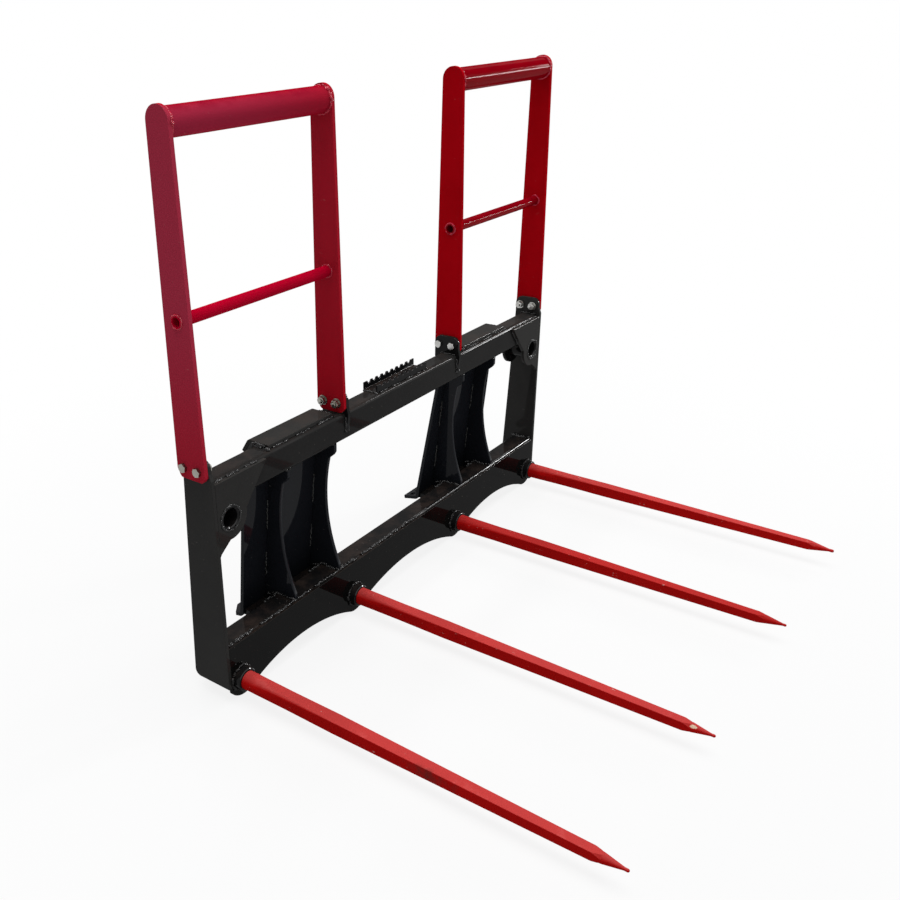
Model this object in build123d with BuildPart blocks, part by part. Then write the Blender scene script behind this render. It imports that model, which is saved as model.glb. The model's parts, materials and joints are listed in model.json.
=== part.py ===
from build123d import *
import os
from math import atan2, cos, degrees, hypot, radians, sin, tan

# Bale spear for a loader's quick coupler: a welded black frame that carries four
# red tapered spears along its lower edge and two red guard hoops along its top.
# X runs along the frame, the spears point towards -Y, the loader is at +Y, Z is up.
# Sizes are in mm. Z = 0 is the underside of the lobes that hold the spears.

# frame
frame_half = 738.0
plate = 10.0
front_y = plate
top_beam_depth = 56.0
top_beam_height = 72.0
top_beam_top = 571.0
top_beam_wall = 6.0
top_beam_corner = 11.0
low_beam_depth = 60.0
low_beam_height = 66.5
low_beam_top = 147.0
low_beam_wall = 6.0
low_beam_corner = 8.0

# spears and their sleeves
spear_edge = 43.0
spear_inner_x = 251.0
spear_z = 51.5
spear_tip_y = -942.0
spear_point = 72.0
spear_base_r = 23.0
spear_round_end = 55.0
spear_square_start = 150.0
spear_square = 35.0
spear_square_end = 20.5
spear_edge_r = 1.6
tip_r = 1.6
cone_rear_r = 17.0
thread_r = 14.0
thread_end_y = 131.0
sleeve_r = 29.0
sleeve_front_y = -20.5
sleeve_rear_y = 95.0
spear_clearance = 0.25

# lower face plate
lobe_r = 51.5
lobe_edge = 51.0
lobe_join_angle = 30.0
side_arch_crown = 49.0
mid_arch_crown = 53.0

# end plates and guard bolts
end_bottom = 37.0
end_rear_top = 83.0
end_rear_bottom = 111.0
ear_front = 6.0
ear_rear = 84.0
ear_top = 621.0
ear_corner = 20.0
bolt_front_y = 27.0
bolt_rear_y = 69.0
bolt_z = 596.0
bolt_r = 6.0
bolt_clearance = 0.5

# corner gussets and spare sockets
gusset_top = 565.0
gusset_top_edge = 175.0
gusset_low_edge = 106.0
gusset_low_z = 480.0
socket_edge = 50.0
socket_z = 470.0
socket_r = 29.0
socket_bore_r = 21.8
socket_rear_y = 82.0
gusset_lobe_r = 52.0
gusset_tail_z = 389.0

# coupler
coupler_edge = 174.0
coupler_inner_top = 281.0
coupler_inner_low = 218.0
coupler_lean = 0.1
coupler_top = 560.0
coupler_heel = 104.0
lip_length = 50.0
lip_drop = 12.0
lip_chamfer = 34.0
lock_slot_shift = 15.0
lock_slot_length = 76.0
lock_slot_width = 20.0
hook_inner = 303.0
hook_edge = 30.0
hook_front_y = 20.0
hook_bend_y = 83.0
hook_tip_y = 104.0
hook_tip_drop = 32.0
rib_inner_x = 300.0
rib_outer_edge = 88.0
rib_arch_r = 471.0
rib_arch_y = 47.0
rib_arch_z = 345.0
rib_arch_top_y = 33.0
spacer = 14.0
spacer_inset = 6.0

# guard hoops
bar = 10.0
lug_half = 257.0
bar_bottom = 572.0
bar_foot_front = 6.5
bar_foot_rear = 88.0
hoop_y = 48.5
hoop_top_z = 1294.0
bar_top_r = 30.0
tube_r = 29.0
tube_drop = 4.0
tube_wall = 4.0
rung_r = 13.4
rung_wall = 3.0
rung_y = 46.0
rung_share = 0.4795
rung_stand = 3.0
rung_clearance = 0.2

# guard fasteners
head_flats = 19.0
head_height = 7.5
nut_height = 10.5
washer_r = 12.5
washer = 2.5
spear_nut_flats = 44.0
spear_nut_height = 23.0
spear_washer_r = 30.0
spear_washer = 4.0

# step tread
step_half = 114.0
step_front_y = 20.5
step_rear_y = 65.5
step_height = 22.0
step_sheet = 4.0
step_teeth = 10

inner_half = frame_half - plate
spear_outer_x = frame_half - spear_edge
lobe_outer_x = frame_half - lobe_edge
socket_x = frame_half - socket_edge
gusset_top_x = frame_half - gusset_top_edge
gusset_low_x = frame_half - gusset_low_edge
coupler_outer = frame_half - coupler_edge
hook_outer = coupler_outer - hook_edge
rib_centres = (rib_inner_x, coupler_outer - rib_outer_edge)
lock_slot_x = (coupler_inner_low + coupler_outer) / 2 + lock_slot_shift
tube_z = hoop_top_z - tube_drop
rung_z = bar_bottom + rung_share * (hoop_top_z - bar_bottom)
spear_xs = (-spear_outer_x, -spear_inner_x, spear_inner_x, spear_outer_x)
top_beam_mid_y = front_y + top_beam_depth / 2
top_beam_mid_z = top_beam_top - top_beam_height / 2
top_beam_bottom = top_beam_top - top_beam_height
top_beam_rear = front_y + top_beam_depth
low_beam_mid_y = front_y + low_beam_depth / 2
low_beam_mid_z = low_beam_top - low_beam_height / 2
low_beam_rear = front_y + low_beam_depth
bolt_ys = (bolt_front_y, bolt_rear_y)
bolt_hole_r = bolt_r + bolt_clearance
bar_outer_x = frame_half + bar / 2
lug_inner = lug_half - plate / 2
lug_outer = lug_half + plate / 2
bar_inner_x = lug_outer + bar / 2
hex_turn = 30.0

os.makedirs("parts", exist_ok=True)


def across(x):
    # plane facing +X at a given x, drawn in (y, z)
    return Plane.YZ.offset(x)


def facing(y):
    # plane facing -Y at a given y, drawn in (x, z)
    return Plane.XZ.offset(-y)


def plate_front(z):
    # y of the leaning coupler plate's front face at height z
    return top_beam_rear + coupler_lean * (coupler_top - z)


# corners of the locking lip in (y, z), which is the rearmost thing on the part
lip_dir = (cos(radians(lip_drop)), -sin(radians(lip_drop)))
lip_up = (sin(radians(lip_drop)), cos(radians(lip_drop)))
heel = (plate_front(coupler_heel), coupler_heel)
lip_end = (heel[0] + lip_length * lip_dir[0], heel[1] + lip_length * lip_dir[1])
lip_end_up = (lip_end[0] + plate * lip_up[0], lip_end[1] + plate * lip_up[1])
plate_run = plate * hypot(1, coupler_lean)
middle_y = (spear_tip_y + lip_end_up[0]) / 2


def save(shape, name):
    # the saved origin is under the middle of the whole part
    placed = Pos(0, -middle_y, 0) * shape
    placed.label = name
    export_step(placed, f"parts/{name}.step")


def save_pair(shape, name):
    save(shape, f"{name}_right")
    save(mirror(shape, about=Plane.YZ), f"{name}_left")


with BuildPart() as top_beam:
    with BuildSketch(Plane.YZ):
        with Locations((top_beam_mid_y, top_beam_mid_z)):
            RectangleRounded(top_beam_depth, top_beam_height, top_beam_corner)
            RectangleRounded(
                top_beam_depth - 2 * top_beam_wall,
                top_beam_height - 2 * top_beam_wall,
                top_beam_corner - top_beam_wall,
                mode=Mode.SUBTRACT,
            )
    extrude(amount=inner_half, both=True)
save(top_beam.part, "top_beam")

with BuildPart() as bottom_beam:
    with BuildSketch(Plane.YZ):
        with Locations((low_beam_mid_y, low_beam_mid_z)):
            RectangleRounded(low_beam_depth, low_beam_height, low_beam_corner)
            RectangleRounded(
                low_beam_depth - 2 * low_beam_wall,
                low_beam_height - 2 * low_beam_wall,
                low_beam_corner - low_beam_wall,
                mode=Mode.SUBTRACT,
            )
    extrude(amount=inner_half, both=True)
save(bottom_beam.part, "bottom_beam")

# The face plate's lower edge swings in arches from lobe to lobe.
join_x = lobe_r * sin(radians(lobe_join_angle))
join_z = spear_z - lobe_r * cos(radians(lobe_join_angle))
end_z = spear_z - (lobe_r**2 - (inner_half - lobe_outer_x) ** 2) ** 0.5
side_mid_x = (lobe_outer_x + spear_inner_x) / 2
with BuildPart() as lower_face_plate:
    with BuildSketch(facing(0)):
        with BuildLine():
            Polyline(
                (-inner_half, end_z),
                (-inner_half, low_beam_top),
                (inner_half, low_beam_top),
                (inner_half, end_z),
            )
            for side in (-1, 1):
                ThreePointArc(
                    (side * inner_half, end_z),
                    (side * lobe_outer_x, spear_z - lobe_r),
                    (side * (lobe_outer_x - join_x), join_z),
                )
                ThreePointArc(
                    (side * (lobe_outer_x - join_x), join_z),
                    (side * side_mid_x, side_arch_crown),
                    (side * (spear_inner_x + join_x), join_z),
                )
                ThreePointArc(
                    (side * (spear_inner_x + join_x), join_z),
                    (side * spear_inner_x, spear_z - lobe_r),
                    (side * (spear_inner_x - join_x), join_z),
                )
            ThreePointArc(
                (join_x - spear_inner_x, join_z),
                (0, mid_arch_crown),
                (spear_inner_x - join_x, join_z),
            )
        make_face()
        with Locations(*[(x, spear_z) for x in spear_xs]):
            Circle(sleeve_r + spear_clearance, mode=Mode.SUBTRACT)
    extrude(amount=-plate)
save(lower_face_plate.part, "lower_face_plate")

with BuildPart() as corner_gusset:
    with BuildSketch(facing(0)):
        with BuildLine():
            Polyline(
                (inner_half, gusset_top),
                (gusset_top_x, gusset_top),
                (gusset_low_x, gusset_low_z),
                (socket_x, socket_z - gusset_lobe_r + 4),
                (inner_half - 4, gusset_tail_z + 6),
                (inner_half, gusset_tail_z),
                close=True,
            )
        make_face()
        with Locations((socket_x, socket_z)):
            Circle(gusset_lobe_r)
        with Locations((inner_half / 2, socket_z)):
            Rectangle(inner_half, inner_half, mode=Mode.INTERSECT)
        with Locations((socket_x, socket_z)):
            Circle(socket_r + spear_clearance, mode=Mode.SUBTRACT)
    extrude(amount=-plate)
save_pair(corner_gusset.part, "corner_gusset")

# A second plate behind the beam holds the rear end of the spare socket.
with BuildPart() as socket_plate:
    with BuildSketch(facing(top_beam_rear)):
        with BuildLine():
            Polyline(
                (inner_half, top_beam_mid_z),
                (socket_x - gusset_lobe_r - 24, top_beam_mid_z),
                (socket_x - gusset_lobe_r, socket_z),
                (socket_x, socket_z - gusset_lobe_r),
                (inner_half, socket_z - 30),
                close=True,
            )
        make_face()
        with Locations((socket_x, socket_z)):
            Circle(gusset_lobe_r)
        with Locations((inner_half / 2, socket_z)):
            Rectangle(inner_half, inner_half, mode=Mode.INTERSECT)
        with Locations((socket_x, socket_z)):
            Circle(socket_r + spear_clearance, mode=Mode.SUBTRACT)
    extrude(amount=-plate)
save_pair(socket_plate.part, "socket_plate")

with BuildPart() as end_plate:
    with BuildSketch(across(inner_half)) as end_outline:
        with BuildLine():
            Polyline(
                (0, end_bottom),
                (0, top_beam_top + 4),
                (ear_front, top_beam_top + 20),
                (ear_front, ear_top),
                (ear_rear, ear_top),
                (ear_rear, top_beam_top + 4),
                (end_rear_bottom, end_bottom),
                close=True,
            )
        make_face()
        fillet(end_outline.vertices().group_by(Axis.Y)[-1], ear_corner)
        fillet(end_outline.vertices().group_by(Axis.Y)[0].sort_by(Axis.X)[-1], 16)
        with Locations(*[(y, bolt_z) for y in bolt_ys]):
            Circle(bolt_hole_r, mode=Mode.SUBTRACT)
    extrude(amount=plate)
save_pair(end_plate.part, "end_plate")

with BuildPart() as upper_socket:
    with BuildSketch(facing(0)):
        with Locations((socket_x, socket_z)):
            Circle(socket_r)
            Circle(socket_bore_r, mode=Mode.SUBTRACT)
    extrude(amount=-socket_rear_y)
    chamfer(upper_socket.edges().filter_by(GeomType.CIRCLE).group_by(Axis.Y)[0].sort_by(SortBy.RADIUS)[0], 2)
save_pair(upper_socket.part, "upper_socket")

# A leaning plate whose foot turns back into the locking lip.
knee_z = coupler_heel
for step in range(20):
    knee_y = plate_front(knee_z) + plate_run
    knee_z = lip_end_up[1] + (lip_end_up[0] - knee_y) * tan(radians(lip_drop))
knee_y = plate_front(knee_z) + plate_run
lip_mid_y = (knee_y + lip_end[0]) / 2 + 1

with BuildPart() as coupler_plate:
    with BuildSketch(across(coupler_inner_low)) as bent:
        with BuildLine():
            Polyline(
                (plate_front(coupler_top), coupler_top),
                (plate_front(coupler_top) + plate_run, coupler_top),
                (knee_y, knee_z),
                lip_end_up,
                lip_end,
                heel,
                close=True,
            )
        make_face()
        fillet(bent.vertices().sort_by_distance((heel[0], heel[1], 0))[0], 14)
        fillet(bent.vertices().sort_by_distance((knee_y, knee_z, 0))[0], 4)
    extrude(amount=coupler_outer - coupler_inner_low)
    with BuildSketch(facing(0)):
        with BuildLine():
            Polyline(
                (coupler_inner_low - 1, coupler_top + 1),
                (coupler_inner_top, coupler_top + 1),
                (coupler_inner_low, coupler_heel + 30),
                (coupler_inner_low - 1, coupler_heel + 30),
                close=True,
            )
        make_face()
    extrude(amount=-300, mode=Mode.SUBTRACT)
    with BuildSketch(Plane.XY):
        with BuildLine():
            Polyline(
                (coupler_outer + 1, knee_y + 15),
                (coupler_outer - lip_chamfer, lip_end_up[0] + 1),
                (coupler_outer + 1, lip_end_up[0] + 1),
                close=True,
            )
        make_face()
        with Locations((lock_slot_x, lip_mid_y)):
            Rectangle(lock_slot_length, lock_slot_width)
        with Locations((coupler_inner_low + 17, lip_mid_y), (coupler_inner_low + 44, lip_mid_y)):
            SlotOverall(20, 14)
    extrude(amount=coupler_heel + 24, mode=Mode.SUBTRACT)
save_pair(coupler_plate.part, "coupler_plate")

# The hook lies on the top beam and its rear leg turns down over the pocket.
hook_top = top_beam_top + plate
leg_run = (hook_tip_y - hook_bend_y, -hook_tip_drop)
leg_length = hypot(*leg_run)
leg_dir = (leg_run[0] / leg_length, leg_run[1] / leg_length)
leg_in = (leg_dir[1], -leg_dir[0])
tip_out = (hook_tip_y, hook_top - hook_tip_drop)
tip_in = (tip_out[0] + plate * leg_in[0], tip_out[1] + plate * leg_in[1])
knuckle_y = tip_in[0] - (top_beam_top - tip_in[1]) * leg_dir[0] / -leg_dir[1]

with BuildPart() as coupler_hook:
    with BuildSketch(across(hook_inner)) as hook_outline:
        with BuildLine():
            Polyline(
                (hook_front_y, top_beam_top),
                (hook_front_y, hook_top),
                (hook_bend_y, hook_top),
                tip_out,
                tip_in,
                (knuckle_y, top_beam_top),
                close=True,
            )
        make_face()
        fillet(hook_outline.vertices().sort_by_distance((hook_bend_y, hook_top, 0))[0], 12)
        fillet(hook_outline.vertices().sort_by_distance((knuckle_y, top_beam_top, 0))[0], 3)
    extrude(amount=hook_outer - hook_inner)
save_pair(coupler_hook.part, "coupler_hook")

# Each rib fills between the beams ahead of the coupler plate, with a hollow front edge.
rib_centre_y = rib_arch_y - rib_arch_r
rib_arch_low_z = rib_arch_z - (rib_arch_r**2 - (front_y - rib_centre_y) ** 2) ** 0.5
rib_arch_high_z = rib_arch_z + (rib_arch_r**2 - (rib_arch_top_y - rib_centre_y) ** 2) ** 0.5
rib_heel_z = coupler_heel + 18
for number, centre in enumerate(rib_centres, start=1):
    with BuildPart() as coupler_rib:
        with BuildSketch(across(centre - plate / 2)):
            with BuildLine():
                Polyline(
                    (front_y, rib_arch_low_z),
                    (front_y, low_beam_top),
                    (low_beam_rear + 1, low_beam_top),
                    (low_beam_rear + 1, rib_heel_z),
                    (plate_front(rib_heel_z), rib_heel_z),
                    (plate_front(top_beam_bottom), top_beam_bottom),
                    (front_y + 3, top_beam_bottom),
                    (front_y + 3.5, top_beam_bottom - 19),
                    (front_y + 9, top_beam_bottom - 28),
                    (rib_arch_top_y, rib_arch_high_z),
                )
                ThreePointArc(
                    (rib_arch_top_y, rib_arch_high_z),
                    (rib_arch_y, rib_arch_z),
                    (front_y, rib_arch_low_z),
                )
            make_face()
        extrude(amount=plate)
    save_pair(coupler_rib.part, f"coupler_rib_{number}")

# A flat bar under the ribs' heels closes the gap between the lower beam and the leaning plate.
spacer_low_z = rib_heel_z - spacer
with BuildPart() as coupler_spacer:
    with BuildSketch(across(coupler_inner_low + spacer_inset)):
        with BuildLine():
            Polyline(
                (low_beam_rear, spacer_low_z),
                (plate_front(spacer_low_z), spacer_low_z),
                (plate_front(rib_heel_z), rib_heel_z),
                (low_beam_rear, rib_heel_z),
                close=True,
            )
        make_face()
    extrude(amount=coupler_outer - coupler_inner_low - 2 * spacer_inset)
save_pair(coupler_spacer.part, "coupler_spacer")

# The lug straddles the top beam: an ear above it and a leg down its face.
with BuildPart() as guard_lug:
    with BuildSketch(across(lug_inner)) as lug_outline:
        with BuildLine():
            Polyline(
                (ear_front, ear_top),
                (ear_rear - 2, ear_top),
                (ear_rear - 2, top_beam_top - 14),
                (top_beam_rear, top_beam_top - 14),
                (front_y, top_beam_top - 54),
                (front_y - 3, top_beam_top - 52),
                (front_y - 9, top_beam_top - 4),
                (ear_front, top_beam_top + 18),
                close=True,
            )
        make_face()
        fillet(lug_outline.vertices().group_by(Axis.Y)[-1], ear_corner)
        with Locations((top_beam_mid_y, top_beam_mid_z)):
            RectangleRounded(top_beam_depth, top_beam_height, top_beam_corner, mode=Mode.SUBTRACT)
        with Locations(*[(y, bolt_z) for y in bolt_ys]):
            Circle(bolt_hole_r, mode=Mode.SUBTRACT)
    extrude(amount=plate)
save_pair(guard_lug.part, "guard_lug")

# A channel with its flanges up, scalloped into teeth along both edges.
with BuildPart() as step_tread:
    step_mid_y = (step_front_y + step_rear_y) / 2
    step_width = step_rear_y - step_front_y
    with BuildSketch(Plane.YZ):
        with Locations((step_mid_y, top_beam_top + step_height / 2)):
            Rectangle(step_width, step_height)
        with Locations((step_mid_y, top_beam_top + step_sheet + step_height / 2)):
            Rectangle(step_width - 2 * step_sheet, step_height, mode=Mode.SUBTRACT)
    extrude(amount=step_half, both=True)
    tooth_pitch = 2 * step_half / step_teeth
    with BuildSketch(facing(0)):
        for tooth in range(step_teeth - 1):
            with Locations((-step_half + (tooth + 1) * tooth_pitch, top_beam_top + step_height)):
                Circle(0.30 * tooth_pitch)
    extrude(amount=-100, mode=Mode.SUBTRACT)
save(step_tread.part, "step_tread")

# Spear: a tapered seat in the sleeve, a round neck, a tapered square shaft and a turned point.
shaft_end_y = spear_tip_y - 4
shaft_run = shaft_end_y + spear_square_start
point_start_y = spear_tip_y + spear_point
for number, spear_x in enumerate(spear_xs, start=1):
    axis = Axis((spear_x, 0, spear_z), (0, 1, 0))
    seat_y = sleeve_front_y
    with BuildPart() as spear:
        with BuildSketch(facing(-spear_round_end)):
            with Locations((spear_x, spear_z)):
                Circle(spear_base_r - 0.4)
        with BuildSketch(facing(-spear_square_start)):
            with Locations((spear_x, spear_z)):
                RectangleRounded(spear_square, spear_square, 7)
        loft()
        with BuildSketch(facing(-spear_square_start)):
            with Locations((spear_x, spear_z)):
                RectangleRounded(spear_square, spear_square, 7)
        with BuildSketch(facing(-spear_square_start - 130)):
            with Locations((spear_x, spear_z)):
                side = spear_square - 130 * (spear_square - spear_square_end) / -shaft_run
                RectangleRounded(side, side, spear_edge_r)
        loft()
        with BuildSketch(facing(-spear_square_start - 130)):
            with Locations((spear_x, spear_z)):
                RectangleRounded(side, side, spear_edge_r)
        with BuildSketch(facing(shaft_end_y)):
            with Locations((spear_x, spear_z)):
                RectangleRounded(spear_square_end, spear_square_end, spear_edge_r)
        loft()
        with BuildSketch(across(spear_x)):
            with BuildLine():
                Polyline(
                    (spear_tip_y, spear_z),
                    (spear_tip_y, spear_z + tip_r),
                    (point_start_y, spear_z + 15.5),
                    (-spear_round_end, spear_z + 40),
                    (-spear_round_end, spear_z),
                    close=True,
                )
            make_face()
        revolve(axis=axis, mode=Mode.INTERSECT)
        with BuildSketch(across(spear_x)):
            with BuildLine():
                Polyline(
                    (-spear_round_end, spear_z),
                    (-spear_round_end, spear_z + spear_base_r - 0.4),
                    (seat_y, spear_z + spear_base_r),
                    (sleeve_rear_y - 1, spear_z + cone_rear_r),
                    (sleeve_rear_y - 1, spear_z + thread_r),
                    (thread_end_y - 2, spear_z + thread_r),
                    (thread_end_y, spear_z + thread_r - 2),
                    (thread_end_y, spear_z),
                    close=True,
                )
            make_face()
        revolve(axis=axis)
    save(spear.part, f"spear_{number}")
    with BuildPart() as spear_sleeve:
        with BuildSketch(across(spear_x)):
            with BuildLine():
                Polyline(
                    (seat_y, spear_z + spear_base_r + spear_clearance),
                    (seat_y, spear_z + sleeve_r - 2),
                    (seat_y + 2, spear_z + sleeve_r),
                    (sleeve_rear_y, spear_z + sleeve_r),
                    (sleeve_rear_y, spear_z + cone_rear_r + spear_clearance),
                    close=True,
                )
            make_face()
        revolve(axis=axis)
    save(spear_sleeve.part, f"spear_sleeve_{number}")

with BuildPart() as spear_washers:
    with BuildSketch(facing(sleeve_rear_y)):
        with Locations(*[(x, spear_z) for x in spear_xs]):
            Circle(spear_washer_r)
            Circle(thread_r + spear_clearance, mode=Mode.SUBTRACT)
    extrude(amount=-spear_washer)
save(spear_washers.part, "spear_washers")

with BuildPart() as spear_nuts:
    with BuildSketch(facing(sleeve_rear_y + spear_washer)):
        with Locations(*[(x, spear_z) for x in spear_xs]):
            RegularPolygon(spear_nut_flats / 2, 6, major_radius=False)
            Circle(thread_r + spear_clearance, mode=Mode.SUBTRACT)
    extrude(amount=-spear_nut_height)
save(spear_nuts.part, "spear_nuts")

for name, bar_x in (("outer", bar_outer_x), ("inner", bar_inner_x)):
    with BuildPart() as guard_bar:
        with BuildSketch(across(bar_x - bar / 2)) as bar_outline:
            with BuildLine():
                Polyline(
                    (bar_foot_front, bar_bottom + 12),
                    (bar_foot_front + 9, bar_bottom),
                    (bar_foot_rear - 10, bar_bottom),
                    (bar_foot_rear, bar_bottom + 20),
                    (hoop_y + bar_top_r, hoop_top_z),
                    (hoop_y - bar_top_r, hoop_top_z),
                    close=True,
                )
            make_face()
            fillet(bar_outline.vertices().group_by(Axis.Y)[0], 9)
            with Locations((hoop_y, hoop_top_z)):
                Circle(bar_top_r)
            with Locations((rung_y, rung_z)):
                Circle(rung_r + rung_clearance, mode=Mode.SUBTRACT)
            with Locations(*[(y, bolt_z) for y in bolt_ys]):
                Circle(bolt_hole_r, mode=Mode.SUBTRACT)
        extrude(amount=bar)
    save_pair(guard_bar.part, f"guard_bar_{name}")

tube_start = bar_inner_x + bar / 2
tube_end = bar_outer_x - bar / 2
with BuildPart() as guard_top_tube:
    with BuildSketch(across(tube_start)):
        with Locations((hoop_y, tube_z)):
            Circle(tube_r)
            Circle(tube_r - tube_wall, mode=Mode.SUBTRACT)
    extrude(amount=tube_end - tube_start)
save_pair(guard_top_tube.part, "guard_top_tube")

rung_start = bar_inner_x - bar / 2 - rung_stand
rung_end = bar_outer_x + bar / 2 + rung_stand
with BuildPart() as guard_rung:
    with BuildSketch(across(rung_start)):
        with Locations((rung_y, rung_z)):
            Circle(rung_r)
            Circle(rung_r - rung_wall, mode=Mode.SUBTRACT)
    extrude(amount=rung_end - rung_start)
save_pair(guard_rung.part, "guard_rung")

# The outer bolts have their heads outside, the inner ones towards the middle.
outer_head_x = frame_half + bar
outer_nut_x = inner_half
inner_head_x = lug_inner
inner_nut_x = lug_outer + bar
with BuildPart() as guard_bolts:
    for sign in (-1, 1):
        for head_x, nut_x in ((outer_head_x, outer_nut_x), (inner_head_x, inner_nut_x)):
            out = 1 if head_x > nut_x else -1
            shank_end = nut_x - out * (washer + nut_height + 4)
            with BuildSketch(across(sign * head_x)):
                with Locations(*[(y, bolt_z) for y in bolt_ys]):
                    RegularPolygon(head_flats / 2, 6, major_radius=False, rotation=hex_turn)
            extrude(amount=sign * out * head_height)
            with BuildSketch(across(sign * head_x)):
                with Locations(*[(y, bolt_z) for y in bolt_ys]):
                    Circle(bolt_r)
            extrude(amount=sign * (shank_end - head_x))
save(guard_bolts.part, "guard_bolts")

with BuildPart() as guard_washers:
    for sign in (-1, 1):
        for nut_x, out in ((outer_nut_x, -1), (inner_nut_x, 1)):
            with BuildSketch(across(sign * nut_x)):
                with Locations(*[(y, bolt_z) for y in bolt_ys]):
                    Circle(washer_r)
                    Circle(bolt_hole_r, mode=Mode.SUBTRACT)
            extrude(amount=sign * out * washer)
save(guard_washers.part, "guard_washers")

with BuildPart() as guard_nuts:
    for sign in (-1, 1):
        for nut_x, out in ((outer_nut_x, -1), (inner_nut_x, 1)):
            with BuildSketch(across(sign * (nut_x + out * washer))):
                with Locations(*[(y, bolt_z) for y in bolt_ys]):
                    RegularPolygon(head_flats / 2, 6, major_radius=False, rotation=hex_turn)
                    Circle(bolt_r + 0.1, mode=Mode.SUBTRACT)
            extrude(amount=sign * out * nut_height)
save(guard_nuts.part, "guard_nuts")
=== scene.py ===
"""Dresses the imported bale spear: paint, weld beads, chamfered fasteners, studio and camera."""

import json
import logging
import math
import random
from dataclasses import dataclass, field, replace
from enum import Enum
from typing import Sequence

import bmesh
import bpy
from mathutils import Matrix, Vector


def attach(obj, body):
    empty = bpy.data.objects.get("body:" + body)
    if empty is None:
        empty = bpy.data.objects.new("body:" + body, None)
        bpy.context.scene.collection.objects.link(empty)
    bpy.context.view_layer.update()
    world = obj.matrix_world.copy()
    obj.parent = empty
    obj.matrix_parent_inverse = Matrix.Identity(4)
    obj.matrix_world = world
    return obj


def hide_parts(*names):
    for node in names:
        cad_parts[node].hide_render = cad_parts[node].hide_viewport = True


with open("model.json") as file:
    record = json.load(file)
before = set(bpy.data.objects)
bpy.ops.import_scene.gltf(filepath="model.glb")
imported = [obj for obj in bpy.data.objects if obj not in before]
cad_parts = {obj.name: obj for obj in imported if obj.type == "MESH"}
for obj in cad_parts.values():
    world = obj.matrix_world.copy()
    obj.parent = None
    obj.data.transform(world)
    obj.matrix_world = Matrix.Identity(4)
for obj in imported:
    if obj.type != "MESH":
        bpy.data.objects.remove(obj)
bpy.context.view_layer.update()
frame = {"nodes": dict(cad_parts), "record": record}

LOG = logging.getLogger("bale_spear")

Object = bpy.types.Object
Material = bpy.types.Material
Node = bpy.types.Node
NodeTree = bpy.types.NodeTree
Inputs = bpy.types.NodeInputs
Outputs = bpy.types.NodeOutputs
Socket = bpy.types.NodeSocket
Pair = tuple[float, float]
Triple = tuple[float, float, float]
Feed = Socket | Triple | float

MM = 1000.0  # in a metre
FRONT_Y = 389.707  # from the row's origin back to the front plane of the plates, in mm
SPEAR_XS = (-695.0, -251.0, 251.0, 695.0)
SPEAR_Z = 51.5
CENTRE = (0.0, 0.0, 0.0)
ALONG = Vector((1, 0, 0))
FRONT = Vector((0, -1, 0))
BACK = Vector((0, 1, 0))
UP = Vector((0, 0, 1))


class Slot(Enum):
    """Material slots of the record that the pieces take their finish from."""

    FRAME = "frame_paint"
    SPEAR = "spear_paint"
    HOOP = "hoop_paint"
    ZINC = "zinc_steel"
    PLAIN = "plain_steel"


class Side(Enum):
    """The two mirrored halves of the frame, seen from the spears' side."""

    LEFT = -1.0
    RIGHT = 1.0


class Kind(Enum):
    """Socket types of the shared node groups."""

    FLOAT = "NodeSocketFloat"
    COLOUR = "NodeSocketColor"
    VECTOR = "NodeSocketVector"


def spot(x: float, y: float, z: float) -> Vector:
    """Point in metres of one in mm along the frame, behind its front plane and above the lobes' underside."""
    return Vector((x / MM, (y + FRONT_Y) / MM, z / MM))


def turned(start: Vector, end: Vector) -> Matrix:
    """Turn that carries one direction onto another."""
    return start.rotation_difference(end).to_matrix().to_4x4()


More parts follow.
